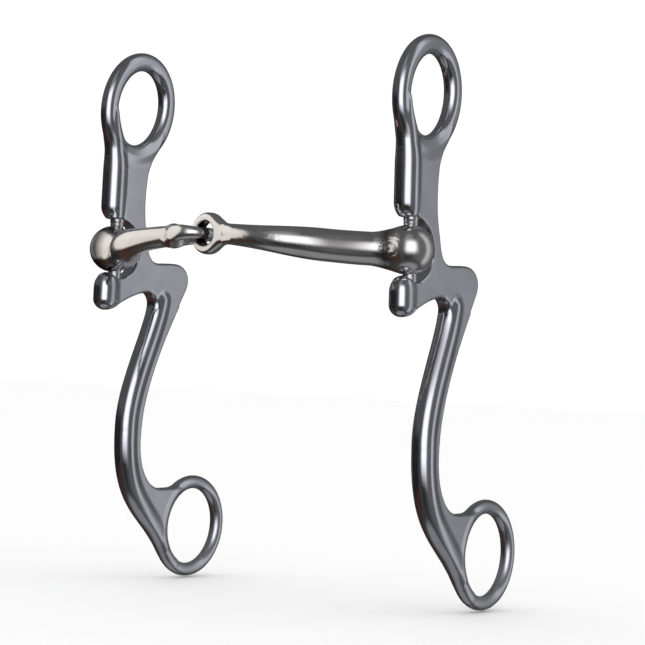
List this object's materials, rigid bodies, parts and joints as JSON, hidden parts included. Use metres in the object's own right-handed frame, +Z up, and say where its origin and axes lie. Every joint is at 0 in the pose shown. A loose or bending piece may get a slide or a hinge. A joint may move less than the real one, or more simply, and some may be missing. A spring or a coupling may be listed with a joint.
{
  "type": "curb bit",
  "caption": "Loose-cheek curb bit: curved shanks with headstall and rein rings swivel on upright pins at the ends of a curved mouth whose halves link in the middle.",
  "frame": {"origin": "midway between the two upright swivel pins, level with the middles of the mouth's balls", "axes": "+X across the mouth to the right cheek, -Y to the front where the mouth curves forward, +Y to the back where the rein rings are, +Z up towards the headstall rings"},
  "size_m": [0.1348, 0.1041, 0.1809],
  "materials": {
    "cheek_steel": "polished",
    "pin_steel": "turned",
    "mouth_steel": "polished"
  },
  "bodies": {
    "left_cheek": {"cheek_left": "cheek_steel", "swivel_pin_left": "pin_steel"},
    "left_mouth": {"mouth_half_left": "mouth_steel"},
    "right_mouth": {"mouth_half_right": "mouth_steel"},
    "right_cheek": {"cheek_right": "cheek_steel", "swivel_pin_right": "pin_steel"}
  },
  "joints": [
    {"name": "swivel_left", "type": "hinge", "parent": "left_cheek", "child": "left_mouth", "pos_m": [-0.0592, 0, 0], "axis": [0.0175, 0, 0.9998], "range_deg": [-75, 35]},
    {"name": "mouth_fold", "type": "hinge", "parent": "left_mouth", "child": "right_mouth", "pos_m": [0, -0.0302, 0.003], "axis": [0, 0, 1], "range_deg": [-60, 30]},
    {"name": "swivel_right", "type": "hinge", "parent": "right_mouth", "child": "right_cheek", "pos_m": [0.0592, 0, 0], "axis": [0.0175, 0, -0.9998], "range_deg": [-35, 75]}
  ]
}
